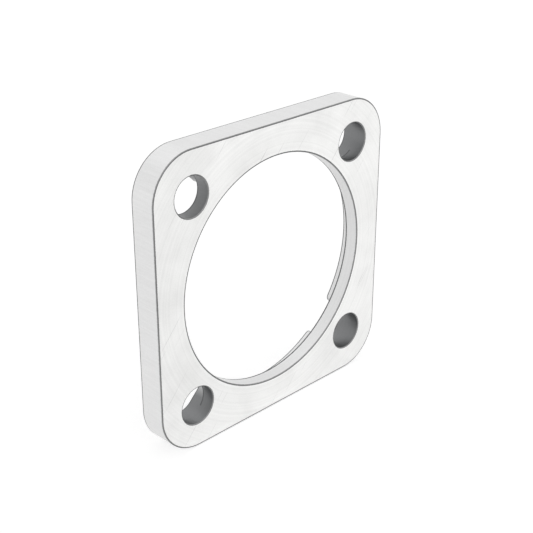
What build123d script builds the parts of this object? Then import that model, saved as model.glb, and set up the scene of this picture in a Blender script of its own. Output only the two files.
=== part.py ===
from build123d import *
import math
import os

# Square four-bolt pipe flange, machined from one plate, in millimetres with +Z up.
# The plate stands on edge, as it is fitted on a level pipe whose axis is along Y.
# The origin is the centre of the bolt pattern on the back face, which is the face that seals.
# The front face, where the bolt heads or nuts bear, looks towards -Y.

# Round pocket in the back face, which seats the end of a pipe, and the bore that carries on through the plate
pocket_diameter = 73.0
pocket_depth = 3.85
shoulder_width = 3.15  # ledge left between the pocket's wall and the bore, where the pipe's end stops

# Four clearance holes for M10 bolts
bolt_hole_diameter = 11.0
bolt_land = 0.426  # metal between a bolt hole and the pocket's wall, which brings the bolts onto a 60 mm square

# Plate
thickness = 8.0
edge_distance = 12.5  # from a bolt's axis to the plate's edge
corner_radius = 12.8
edge_break = 0.15  # small chamfer on the edges of both faces

# Slots that open the bolt holes into the pocket, as wide as the holes and as deep as the pocket
slot_width = bolt_hole_diameter
slot_mouth_radius = 1.5  # rounding where a slot's side meets the pocket's wall

# Worked out from the sizes above
bore_diameter = pocket_diameter - 2 * shoulder_width
bolt_circle_radius = (pocket_diameter + bolt_hole_diameter) / 2 + bolt_land
bolt_spacing = bolt_circle_radius * math.sqrt(2)
side = bolt_spacing + 2 * edge_distance
slot_inner_end = (bore_diameter - slot_width) / 2  # lies within the bore
slot_length = bolt_circle_radius - slot_inner_end

front_view = Plane.XZ  # faces -Y, so a sketch on it grows towards the front face
back_view = Plane.ZX  # faces +Y, so a hole placed on it goes in at the back face

with BuildPart() as flange:
    # Square plate with rounded corners
    with BuildSketch(front_view):
        RectangleRounded(side, side, corner_radius)
    extrude(amount=thickness)

    # Pocket in the back face: a round seat with a slot out to each bolt hole
    with BuildSketch(back_view) as pocket:
        Circle(pocket_diameter / 2)
        with PolarLocations(slot_inner_end, 4, start_angle=45):
            with Locations((slot_length / 2, 0)):
                SlotCenterToCenter(slot_length, slot_width)
        slot_mouths = pocket.vertices().group_by(SortBy.DISTANCE)[0]
        fillet(slot_mouths, slot_mouth_radius)
    extrude(amount=-pocket_depth, mode=Mode.SUBTRACT)

    # Bore and bolt holes, right through
    with Locations(back_view):
        Hole(bore_diameter / 2)
        with GridLocations(bolt_spacing, bolt_spacing, 2, 2):
            Hole(bolt_hole_diameter / 2)

    # Broken edges all round the front face and the back face
    faces_front_to_back = flange.faces().filter_by(Axis.Y).sort_by(Axis.Y)
    chamfer(faces_front_to_back[0].edges() + faces_front_to_back[-1].edges(), edge_break)

flange.part.label = "flange"

os.makedirs("parts", exist_ok=True)
export_step(flange.part, "parts/flange.step")

box = flange.part.bounding_box()
print("flange size", [round(v, 3) for v in (box.size.X, box.size.Y, box.size.Z)])
print("bolt spacing", round(bolt_spacing, 3), "bore", round(bore_diameter, 3))
print("flange volume", round(flange.part.volume, 1))
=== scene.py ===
import bpy
import math
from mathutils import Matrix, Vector


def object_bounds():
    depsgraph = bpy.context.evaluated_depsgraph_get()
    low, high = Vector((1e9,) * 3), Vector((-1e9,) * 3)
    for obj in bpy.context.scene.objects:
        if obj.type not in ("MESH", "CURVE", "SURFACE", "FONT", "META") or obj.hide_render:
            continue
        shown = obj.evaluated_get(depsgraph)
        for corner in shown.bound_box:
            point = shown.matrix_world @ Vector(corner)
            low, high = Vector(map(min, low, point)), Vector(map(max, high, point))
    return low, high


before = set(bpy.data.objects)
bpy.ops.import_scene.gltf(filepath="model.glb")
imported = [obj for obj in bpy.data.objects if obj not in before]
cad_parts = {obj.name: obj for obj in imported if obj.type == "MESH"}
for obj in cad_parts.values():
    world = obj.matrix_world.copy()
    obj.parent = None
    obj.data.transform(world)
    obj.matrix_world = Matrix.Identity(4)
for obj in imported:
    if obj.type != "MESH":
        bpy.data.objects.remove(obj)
cadLow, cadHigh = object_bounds()
print("stage 1: frame loaded,", len(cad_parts), "node")

mm = 0.001


def hexColour(code):  # sRGB hex to the linear values that the shader wants
    parts = [int(code[i:i + 2], 16) / 255 for i in (1, 3, 5)]
    return [p / 12.92 if p <= 0.04045 else ((p + 0.055) / 1.055) ** 2.4 for p in parts] + [1.0]


def addNode(tree, kind, settings=None, links=None):  # one node with its values, then its incoming wires
    node = tree.nodes.new(kind)
    for name, value in (settings or {}).items():
        if isinstance(name, int) or name in node.inputs:
            node.inputs[name].default_value = value
        else:
            setattr(node, name, value)
    for name, socket in (links or {}).items():
        tree.links.new(socket, node.inputs[name])
    return node


# the flange, turned and milled from aluminium plate
flangeLook = {
    "metal": "#f5f5f4",
    "metalHandled": "#ebebea",  # where hands and rags have dulled it
    "handledAt": (0.42, 0.68),  # levels of the smudges where that starts and is full
    "plateEdge": "#e5e5e5",
    "turnedWall": "#e1e1e1",  # bore and pocket
    "boltHoleShade": "#848586",  # painted shade: the bolt holes' walls drawn greyer, as shade falls deep in them
    "boltHoleShadeFade": (3.5 * mm, 0.5 * mm),  # outside a bolt hole, where that painted shade starts and is full
    "paintedEdgeShade": "#666768",  # painted shade: a thin dark line along every edge
    "paintedEdgeShadeWidth": 0.32 * mm,
    "paintedEdgeShadeSolid": 0.6,  # share of the width before the line fades out
    "paintedEdgeShadeUneven": 0.12,  # share of the width by which the grain moves it
    "chamferEdgeShade": 0.8,  # how much of that painted shade the broken edge itself takes
    "hairline": "#d8d8d7",
    "hairlineAt": (0.8, 0.88),  # high levels of the noise, so that scratches are few
    "hairlineWidth": 0.35 * mm,
    "hairlineLength": 14 * mm,
    "hairlineTurn": 0.7,  # radians, away from upright
    "roughness": 0.38,
    "roughnessRange": (-0.06, 0.05),  # from clean to smudged
    "markRoughness": 0.12,  # more of it on the crests of the tool marks
    "edgeRoughness": 0.36,
    "ringPitch": 0.8 * mm,  # feed marks are about 0.2 mm apart, drawn coarser so that they show
    "wallPitch": 0.45 * mm,  # also coarser than the real 0.1 mm
    "turnedStretch": 0.02,  # detail along the turned rings, as a share of that across them
    "milledStretch": 0.05,  # and along the milled lines
    "grain": 0.4 * mm,  # bead-blasting leaves about 0.1 mm, drawn coarser so that it shows
    "smudge": 17 * mm,
    "markShade": (0.955, 1.015),  # how far the tool marks darken and lighten the colour
    "grainShade": (0.965, 1.01),  # and the grain
    "reliefDepth": 0.02 * mm,
    "markRelief": 0.35,
    "grainRelief": 0.35,
    "hairlineRelief": 0.3,
    "noiseRange": (0.3, 0.7),  # where nearly all of the noise lies
}

# where the edges lie on the solid, for the finish to follow
flangeEdges = {
    "halfSide": 42.5 * mm,
    "cornerRadius": 12.8 * mm,
    "thickness": 8 * mm,
    "chamfer": 0.15 * mm,
    "boreRadius": 33.35 * mm,
    "pocketRadius": 36.5 * mm,
    "pocketDepth": 3.85 * mm,
    "boltAt": 30 * mm,
    "boltHoleRadius": 5.5 * mm,
    "slotMouthRounding": 2.64 * mm,  # blends as the 1.5 mm fillet does
    "outlineBand": 1 * mm,  # walls this near the outline are the plate's edge
    "boltLineInset": 0.1 * mm,  # thins the line on the faces round a bolt hole
    "frontLineInset": 0.2 * mm,  # thins the line on the walls at the front face
    "faceNormal": (0.88, 0.97),  # share of the normal along Y where a face starts and is full
    "wallNormal": (0.45, 0.25),  # and where a wall does
    "floorMargin": 0.01 * mm,  # walls further behind the pocket's floor than this get no line from it
    "boltCircleMargin": 0.1 * mm,  # nor do walls beyond the bolt circle, less this
    "outOfReach": 1.0,  # metres, added to a distance so that its edge gives no line
}


# Distances from the flange's edges and the kinds of surface, each as a socket of numbers.
# The four quarters are alike, so X and Z are folded onto one of them.
def flangePlaces(tree, edges):
    place = addNode(tree, "ShaderNodeTexCoord")
    xyz = addNode(tree, "ShaderNodeSeparateXYZ", links={0: place.outputs["Object"]})
    facing = addNode(tree, "ShaderNodeSeparateXYZ", links={0: place.outputs["Normal"]})
    depth = xyz.outputs["Y"]

    # faces look along Y, walls across it, and the broken edges lie between
    alongY = addNode(tree, "ShaderNodeMath", {"operation": "ABSOLUTE"}, {0: facing.outputs["Y"]})
    faceStarts, faceFull = edges["faceNormal"]
    wallStarts, wallFull = edges["wallNormal"]
    onFace = addNode(tree, "ShaderNodeMapRange", {"From Min": faceStarts, "From Max": faceFull},
                     {"Value": alongY.outputs[0]})
    onWall = addNode(tree, "ShaderNodeMapRange", {"From Min": wallStarts, "From Max": wallFull},
                     {"Value": alongY.outputs[0]})
    offFace = addNode(tree, "ShaderNodeMath", {"operation": "SUBTRACT", 0: 1.0}, {1: onFace.outputs[0]})
    onChamfer = addNode(tree, "ShaderNodeMath", {"operation": "SUBTRACT", "use_clamp": True},
                        {0: offFace.outputs[0], 1: onWall.outputs[0]})

    # from the bore's axis, from the nearest bolt's axis, and from the plate's outline
    flat = addNode(tree, "ShaderNodeCombineXYZ", {}, {"X": xyz.outputs["X"], "Z": xyz.outputs["Z"]})
    quarter = addNode(tree, "ShaderNodeVectorMath", {"operation": "ABSOLUTE"}, {0: flat.outputs[0]})
    fromAxis = addNode(tree, "ShaderNodeVectorMath", {"operation": "LENGTH"}, {0: flat.outputs[0]})
    fromBolt = addNode(tree, "ShaderNodeVectorMath", {"operation": "DISTANCE",
                       1: (edges["boltAt"], 0, edges["boltAt"])}, {0: quarter.outputs[0]})
    cornerAt = edges["halfSide"] - edges["cornerRadius"]
    pastCorner = addNode(tree, "ShaderNodeVectorMath", {"operation": "SUBTRACT", 1: (cornerAt, 0, cornerAt)},
                         {0: quarter.outputs[0]})
    outwards = addNode(tree, "ShaderNodeVectorMath", {"operation": "MAXIMUM"}, {0: pastCorner.outputs[0]})
    fromCorner = addNode(tree, "ShaderNodeVectorMath", {"operation": "LENGTH"}, {0: outwards.outputs[0]})
    onPlateEdge = addNode(tree, "ShaderNodeMath", {"operation": "GREATER_THAN",
                          1: edges["cornerRadius"] - edges["outlineBand"]}, {0: fromCorner.outputs["Value"]})

    # the pocket's outline: its round seat joined with the slot that runs out along the diagonal
    alongSlot = addNode(tree, "ShaderNodeVectorMath", {"operation": "DOT_PRODUCT", 1: (0.5, 0, 0.5)},
                        {0: quarter.outputs[0]})
    slotReach = addNode(tree, "ShaderNodeMath", {"operation": "MINIMUM", 1: edges["boltAt"]},
                        {0: alongSlot.outputs["Value"]})
    slotMiddle = addNode(tree, "ShaderNodeCombineXYZ", {},
                         {"X": slotReach.outputs[0], "Z": slotReach.outputs[0]})
    fromSlotMiddle = addNode(tree, "ShaderNodeVectorMath", {"operation": "DISTANCE"},
                             {0: quarter.outputs[0], 1: slotMiddle.outputs[0]})
    pastSlot = addNode(tree, "ShaderNodeMath", {"operation": "SUBTRACT", 1: edges["boltHoleRadius"]},
                       {0: fromSlotMiddle.outputs["Value"]})
    pastSeat = addNode(tree, "ShaderNodeMath", {"operation": "SUBTRACT", 1: edges["pocketRadius"]},
                       {0: fromAxis.outputs["Value"]})
    pastPocket = addNode(tree, "ShaderNodeMath", {"operation": "SMOOTH_MIN", 2: edges["slotMouthRounding"]},
                         {0: pastSeat.outputs[0], 1: pastSlot.outputs[0]})
    inFront = addNode(tree, "ShaderNodeMath", {"operation": "LESS_THAN", 1: -edges["pocketDepth"] / 2},
                      {0: depth})
    pocketEdge = addNode(tree, "ShaderNodeMath", {"operation": "MULTIPLY_ADD", 1: edges["outOfReach"]},
                         {0: inFront.outputs[0], 2: pastPocket.outputs[0]})

    # nearest edge on a face
    fromEdge = addNode(tree, "ShaderNodeMath", {"operation": "ABSOLUTE"}, {0: pocketEdge.outputs[0]})
    for distance, edgeAt, extra in (
            (fromCorner.outputs["Value"], edges["cornerRadius"], 0),
            (fromAxis.outputs["Value"], edges["boreRadius"], 0),
            (fromBolt.outputs["Value"], edges["boltHoleRadius"], edges["boltLineInset"])):
        past = addNode(tree, "ShaderNodeMath", {"operation": "SUBTRACT", 1: edgeAt}, {0: distance})
        either = addNode(tree, "ShaderNodeMath", {"operation": "ABSOLUTE"}, {0: past.outputs[0]})
        counted = addNode(tree, "ShaderNodeMath", {"operation": "ADD", 1: extra}, {0: either.outputs[0]})
        fromEdge = addNode(tree, "ShaderNodeMath", {"operation": "MINIMUM"},
                           {0: fromEdge.outputs[0], 1: counted.outputs[0]})

    # nearest edge on a wall: the front, the back, and inside the bolt circle the pocket's floor
    fromBack = addNode(tree, "ShaderNodeMath", {"operation": "MULTIPLY", 1: -1.0}, {0: depth})
    fromFront = addNode(tree, "ShaderNodeMath", {"operation": "ADD",
                        1: edges["thickness"] + edges["frontLineInset"]}, {0: depth})
    fromFaces = addNode(tree, "ShaderNodeMath", {"operation": "MINIMUM"},
                        {0: fromFront.outputs[0], 1: fromBack.outputs[0]})
    boltCircle = edges["boltAt"] * math.sqrt(2)
    beyondBolts = addNode(tree, "ShaderNodeMath", {"operation": "GREATER_THAN",
                          1: boltCircle - edges["boltCircleMargin"]}, {0: fromAxis.outputs["Value"]})
    toFloor = addNode(tree, "ShaderNodeMath", {"operation": "SUBTRACT", 0: -edges["pocketDepth"]},
                      {1: depth})
    behindFloor = addNode(tree, "ShaderNodeMath", {"operation": "LESS_THAN", 1: -edges["floorMargin"]},
                          {0: toFloor.outputs[0]})
    noFloor = addNode(tree, "ShaderNodeMath", {"operation": "MAXIMUM"},
                      {0: beyondBolts.outputs[0], 1: behindFloor.outputs[0]})
    fromFloor = addNode(tree, "ShaderNodeMath", {"operation": "MULTIPLY_ADD", 1: edges["outOfReach"]},
                        {0: noFloor.outputs[0], 2: toFloor.outputs[0]})
    fromWallEnd = addNode(tree, "ShaderNodeMath", {"operation": "MINIMUM"},
                          {0: fromFaces.outputs[0], 1: fromFloor.outputs[0]})
    return {
        "point": place.outputs["Object"],
        "onFace": onFace.outputs[0],
        "onWall": onWall.outputs[0],
        "onChamfer": onChamfer.outputs[0],
        "onPlateEdge": onPlateEdge.outputs[0],
        "fromAxis": fromAxis.outputs["Value"],
        "fromBolt": fromBolt.outputs["Value"],
        "fromEdge": fromEdge.outputs[0],
        "fromWallEnd": fromWallEnd.outputs[0],
    }


# Aluminium plate, turned and milled, lightly bead-blasted and clear anodised: pale satin metal on which
# faint rings round the bore and lines across the edge still show, with a thin line of painted shade along
# each edge and painted shade in the bolt holes
def anodisedAluminium(look, edges):
    material = bpy.data.materials.new("blasted_anodised_aluminium")
    material.use_nodes = True
    tree = material.node_tree
    tree.nodes.clear()
    at = flangePlaces(tree, edges)

    # feed rings round the bore, on both faces and the pocket's floor
    ringAt = addNode(tree, "ShaderNodeMath", {"operation": "DIVIDE", 1: look["ringPitch"]},
                     {0: at["fromAxis"]})
    rings = addNode(tree, "ShaderNodeTexNoise", {"noise_dimensions": "1D", "Scale": 1.0, "Detail": 2.0},
                    {"W": ringAt.outputs[0]})

    # turned walls have rings along Y, and the milled outer edge has lines across its thickness
    fine = 1 / look["wallPitch"]
    longRing, longLine = look["turnedStretch"] * fine, look["milledStretch"] * fine
    turnedAt = addNode(tree, "ShaderNodeVectorMath", {"operation": "MULTIPLY",
                       1: (longRing, fine, longRing)}, {0: at["point"]})
    milledAt = addNode(tree, "ShaderNodeVectorMath", {"operation": "MULTIPLY",
                       1: (fine, longLine, fine)}, {0: at["point"]})
    wallAt = addNode(tree, "ShaderNodeMix", {"data_type": "VECTOR"},
                     {0: at["onPlateEdge"], 4: turnedAt.outputs[0], 5: milledAt.outputs[0]})
    wallLines = addNode(tree, "ShaderNodeTexNoise", {"Scale": 1.0, "Detail": 2.0},
                        {"Vector": wallAt.outputs[1]})
    toolMarks = addNode(tree, "ShaderNodeMix", {},
                        {0: at["onFace"], 2: wallLines.outputs[0], 3: rings.outputs[0]})

    # blasted grain, handling smudges and a few straight hairline scratches
    grain = addNode(tree, "ShaderNodeTexNoise", {"Scale": 1 / look["grain"], "Detail": 3.0},
                    {"Vector": at["point"]})
    smudge = addNode(tree, "ShaderNodeTexNoise",
                     {"Scale": 1 / look["smudge"], "Detail": 3.0, "Roughness": 0.6}, {"Vector": at["point"]})
    handledStarts, handledFull = look["handledAt"]
    handled = addNode(tree, "ShaderNodeMapRange", {"From Min": handledStarts, "From Max": handledFull},
                      {"Value": smudge.outputs[0]})
    hairAt = addNode(tree, "ShaderNodeMapping",
                     {"vector_type": "TEXTURE", "Rotation": (0, look["hairlineTurn"], 0),
                      "Scale": (look["hairlineWidth"], look["hairlineLength"], look["hairlineLength"])},
                     {"Vector": at["point"]})
    hairNoise = addNode(tree, "ShaderNodeTexNoise", {"Scale": 1.0, "Detail": 0.0},
                        {"Vector": hairAt.outputs[0]})
    hairStarts, hairFull = look["hairlineAt"]
    hairline = addNode(tree, "ShaderNodeMapRange", {"From Min": hairStarts, "From Max": hairFull},
                       {"Value": hairNoise.outputs[0]})
    hairOnFace = addNode(tree, "ShaderNodeMath", {"operation": "MULTIPLY"},
                         {0: hairline.outputs[0], 1: at["onFace"]})

    # thin line of painted shade at each edge, made uneven by the grain
    width, lineStart = look["paintedEdgeShadeWidth"], edges["chamfer"]
    wander, solid = look["paintedEdgeShadeUneven"] * width, look["paintedEdgeShadeSolid"] * width
    noiseLow, noiseHigh = look["noiseRange"]
    uneven = addNode(tree, "ShaderNodeMapRange",
                     {"From Min": noiseLow, "From Max": noiseHigh, "To Min": -wander, "To Max": wander},
                     {"Value": grain.outputs[0]})
    nearest = addNode(tree, "ShaderNodeMix", {}, {0: at["onFace"], 2: at["fromWallEnd"], 3: at["fromEdge"]})
    ragged = addNode(tree, "ShaderNodeMath", {"operation": "ADD"},
                     {0: nearest.outputs[0], 1: uneven.outputs[0]})
    edgeShadeBand = addNode(tree, "ShaderNodeMapRange",
                       {"From Min": lineStart + width, "From Max": lineStart + solid},
                       {"Value": ragged.outputs[0]})
    offChamfer = addNode(tree, "ShaderNodeMapRange", {"To Min": 1.0, "To Max": look["chamferEdgeShade"]},
                         {"Value": at["onChamfer"]})
    paintedEdgeShade = addNode(tree, "ShaderNodeMath", {"operation": "MULTIPLY"},
                       {0: edgeShadeBand.outputs[0], 1: offChamfer.outputs[0]})

    # colour
    faceColour = addNode(tree, "ShaderNodeMix", {"data_type": "RGBA", 6: hexColour(look["metal"]),
                         7: hexColour(look["metalHandled"])}, {0: handled.outputs[0]})
    hairColour = addNode(tree, "ShaderNodeMix", {"data_type": "RGBA", 7: hexColour(look["hairline"])},
                         {0: hairOnFace.outputs[0], 6: faceColour.outputs[2]})
    # painted shade in the bolt holes: walls greyer near each bolt's axis
    shadeStarts, shadeFull = look["boltHoleShadeFade"]
    boltHoleShadeMask = addNode(tree, "ShaderNodeMapRange", {"From Min": edges["boltHoleRadius"] + shadeStarts,
                      "From Max": edges["boltHoleRadius"] + shadeFull}, {"Value": at["fromBolt"]})
    boreAndBoltShadeColour = addNode(tree, "ShaderNodeMix", {"data_type": "RGBA", 6: hexColour(look["turnedWall"]),
                          7: hexColour(look["boltHoleShade"])}, {0: boltHoleShadeMask.outputs[0]})
    wallColour = addNode(tree, "ShaderNodeMix", {"data_type": "RGBA", 7: hexColour(look["plateEdge"])},
                         {0: at["onPlateEdge"], 6: boreAndBoltShadeColour.outputs[2]})
    metalColour = addNode(tree, "ShaderNodeMix", {"data_type": "RGBA"},
                          {0: at["onWall"], 6: hairColour.outputs[2], 7: wallColour.outputs[2]})
    markDark, markLight = look["markShade"]
    markShade = addNode(tree, "ShaderNodeMapRange",
                        {"From Min": noiseLow, "From Max": noiseHigh, "To Min": markDark,
                         "To Max": markLight}, {"Value": toolMarks.outputs[0]})
    grainDark, grainLight = look["grainShade"]
    grainShade = addNode(tree, "ShaderNodeMapRange",
                         {"From Min": noiseLow, "From Max": noiseHigh, "To Min": grainDark,
                          "To Max": grainLight}, {"Value": grain.outputs[0]})
    shade = addNode(tree, "ShaderNodeMath", {"operation": "MULTIPLY"},
                    {0: markShade.outputs[0], 1: grainShade.outputs[0]})
    shaded = addNode(tree, "ShaderNodeVectorMath", {"operation": "SCALE"},
                     {0: metalColour.outputs[2], "Scale": shade.outputs[0]})
    # the painted shade along the edges goes over the colour
    colour = addNode(tree, "ShaderNodeMix", {"data_type": "RGBA", 7: hexColour(look["paintedEdgeShade"])},
                     {0: paintedEdgeShade.outputs[0], 6: shaded.outputs[0]})

    # roughness: satin, a little rougher where handled and on the crests of the tool marks
    smoother, rougher = look["roughnessRange"]
    satin = addNode(tree, "ShaderNodeMapRange", {"To Min": look["roughness"] + smoother,
                    "To Max": look["roughness"] + rougher}, {"Value": smudge.outputs[0]})
    marked = addNode(tree, "ShaderNodeMath", {"operation": "MULTIPLY_ADD", 1: look["markRoughness"]},
                     {0: toolMarks.outputs[0], 2: satin.outputs[0]})
    roughness = addNode(tree, "ShaderNodeMix", {3: look["edgeRoughness"]},
                        {0: at["onChamfer"], 2: marked.outputs[0]})

    # relief: tool marks, then the grain over them, then the hairlines
    reliefDepth = look["reliefDepth"]
    markBump = addNode(tree, "ShaderNodeBump", {"Strength": look["markRelief"], "Distance": reliefDepth},
                       {"Height": toolMarks.outputs[0]})
    grainBump = addNode(tree, "ShaderNodeBump", {"Strength": look["grainRelief"], "Distance": reliefDepth},
                        {"Height": grain.outputs[0], "Normal": markBump.outputs[0]})
    hairBump = addNode(tree, "ShaderNodeBump",
                       {"Strength": look["hairlineRelief"], "Distance": reliefDepth, "invert": True},
                       {"Height": hairOnFace.outputs[0], "Normal": grainBump.outputs[0]})

    surface = addNode(tree, "ShaderNodeBsdfPrincipled", {"Metallic": 1.0},
                      {"Base Color": colour.outputs[2], "Roughness": roughness.outputs[0],
                       "Normal": hairBump.outputs[0]})
    addNode(tree, "ShaderNodeOutputMaterial", links={"Surface": surface.outputs[0]})
    return material


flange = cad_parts["flange"]
flange.data.materials.clear()
flange.data.materials.append(anodisedAluminium(flangeLook, flangeEdges))
print("stage 2: flange dressed,", len(flange.data.polygons), "faces")

# the sheet that the flange stands on, and the light from all round
stageLook = {
    "size": 6.0,
    "floorColour": "#e6e6e6",
    "glowNear": 0.48,  # seen by the camera and in reflections only, so that the sheet reads as white
    "glowFar": 0.67,  # away from the lamps the sheet needs more of it
    "fadeFrom": 0.25,  # metres from the middle, for the change from near to far
    "fadeTo": 1.2,
    "skyLight": 0.62,  # how bright the surroundings are for matt surfaces
}


def seenRays(tree):  # 1 for what the camera sees, straight or in a reflection or through glass
    ray = addNode(tree, "ShaderNodeLightPath")
    seen = addNode(tree, "ShaderNodeMath", {"operation": "MAXIMUM"},
                   {0: ray.outputs["Is Camera Ray"], 1: ray.outputs["Is Glossy Ray"]})
    return addNode(tree, "ShaderNodeMath", {"operation": "MAXIMUM"},
                   {0: seen.outputs[0], 1: ray.outputs["Is Transmission Ray"]})


def studioPaper(look):  # heavy matt paper: pale, no gloss
    material = bpy.data.materials.new("matt_studio_paper")
    material.use_nodes = True
    tree = material.node_tree
    tree.nodes.clear()
    place = addNode(tree, "ShaderNodeTexCoord")
    away = addNode(tree, "ShaderNodeVectorMath", {"operation": "LENGTH"}, {0: place.outputs["Object"]})
    glow = addNode(tree, "ShaderNodeMapRange",
                   {"interpolation_type": "SMOOTHSTEP", "From Min": look["fadeFrom"],
                    "From Max": look["fadeTo"], "To Min": look["glowNear"], "To Max": look["glowFar"]},
                   {"Value": away.outputs["Value"]})
    level = addNode(tree, "ShaderNodeMath", {"operation": "MULTIPLY"},
                    {0: glow.outputs[0], 1: seenRays(tree).outputs[0]})
    matt = addNode(tree, "ShaderNodeBsdfDiffuse", {"Color": hexColour(look["floorColour"])})
    light = addNode(tree, "ShaderNodeEmission", {}, {"Strength": level.outputs[0]})
    both = addNode(tree, "ShaderNodeAddShader", {}, {0: matt.outputs[0], 1: light.outputs[0]})
    addNode(tree, "ShaderNodeOutputMaterial", links={"Surface": both.outputs[0]})
    return material


half = stageLook["size"] / 2
floorMesh = bpy.data.meshes.new("floor")
floorMesh.from_pydata([(-half, -half, cadLow.z), (half, -half, cadLow.z), (half, half, cadLow.z),
                       (-half, half, cadLow.z)], [], [(0, 1, 2, 3)])
floorMesh.materials.append(studioPaper(stageLook))
floor = bpy.data.objects.new("floor", floorMesh)
bpy.context.collection.objects.link(floor)

world = bpy.data.worlds.new("studio")
bpy.context.scene.world = world
world.use_nodes = True
skyTree = world.node_tree
skyTree.nodes.clear()
skyLevel = addNode(skyTree, "ShaderNodeMapRange", {"To Min": stageLook["skyLight"], "To Max": 1.0},
                   {"Value": seenRays(skyTree).outputs[0]})
sky = addNode(skyTree, "ShaderNodeBackground", {"Color": (1, 1, 1, 1)}, {"Strength": skyLevel.outputs[0]})
addNode(skyTree, "ShaderNodeOutputWorld", links={"Surface": sky.outputs[0]})
print("stage 3: floor and surroundings")

# softboxes, powers in watts
lamps = {
    "keySoftbox": {"at": (-0.30, -0.80, 0.80), "size": 0.9, "power": 1.0},
    "fillSoftbox": {"at": (0.9, -0.6, 0.5), "size": 0.9, "power": 0.7},
    "topSoftbox": {"at": (0.1, 0.45, 1.0), "size": 0.9, "power": 0.4},
}

middle = (cadLow + cadHigh) / 2
for name, lamp in lamps.items():
    data = bpy.data.lights.new(name, "AREA")
    data.size = lamp["size"]
    data.energy = lamp["power"]
    light = bpy.data.objects.new(name, data)
    light.location = lamp["at"]
    light.rotation_euler = (middle - light.location).to_track_quat("-Z", "Y").to_euler()
    bpy.context.collection.objects.link(light)
print("stage 4: lamps")

# the camera stands to the left of the front face and looks down on it; angles are in degrees
cameraView = {
    "azimuth": -45.0,
    "elevation": 25.0,
    "distance": 0.3068,
    "lens": 74.87,
    "sensor": 36.0,
    "clipStart": 0.01,
}

turn, rise = math.radians(cameraView["azimuth"]), math.radians(cameraView["elevation"])
away = Vector((math.sin(turn) * math.cos(rise), -math.cos(turn) * math.cos(rise), math.sin(rise)))
cameraData = bpy.data.cameras.new("camera")
cameraData.lens = cameraView["lens"]
cameraData.sensor_width = cameraView["sensor"]
cameraData.clip_start = cameraView["clipStart"]
camera = bpy.data.objects.new("camera", cameraData)
camera.location = middle + away * cameraView["distance"]
camera.rotation_euler = (-away).to_track_quat("-Z", "Y").to_euler()
bpy.context.collection.objects.link(camera)
bpy.context.scene.camera = camera
bpy.context.scene.view_settings.view_transform = "Standard"
print("stage 5: camera")
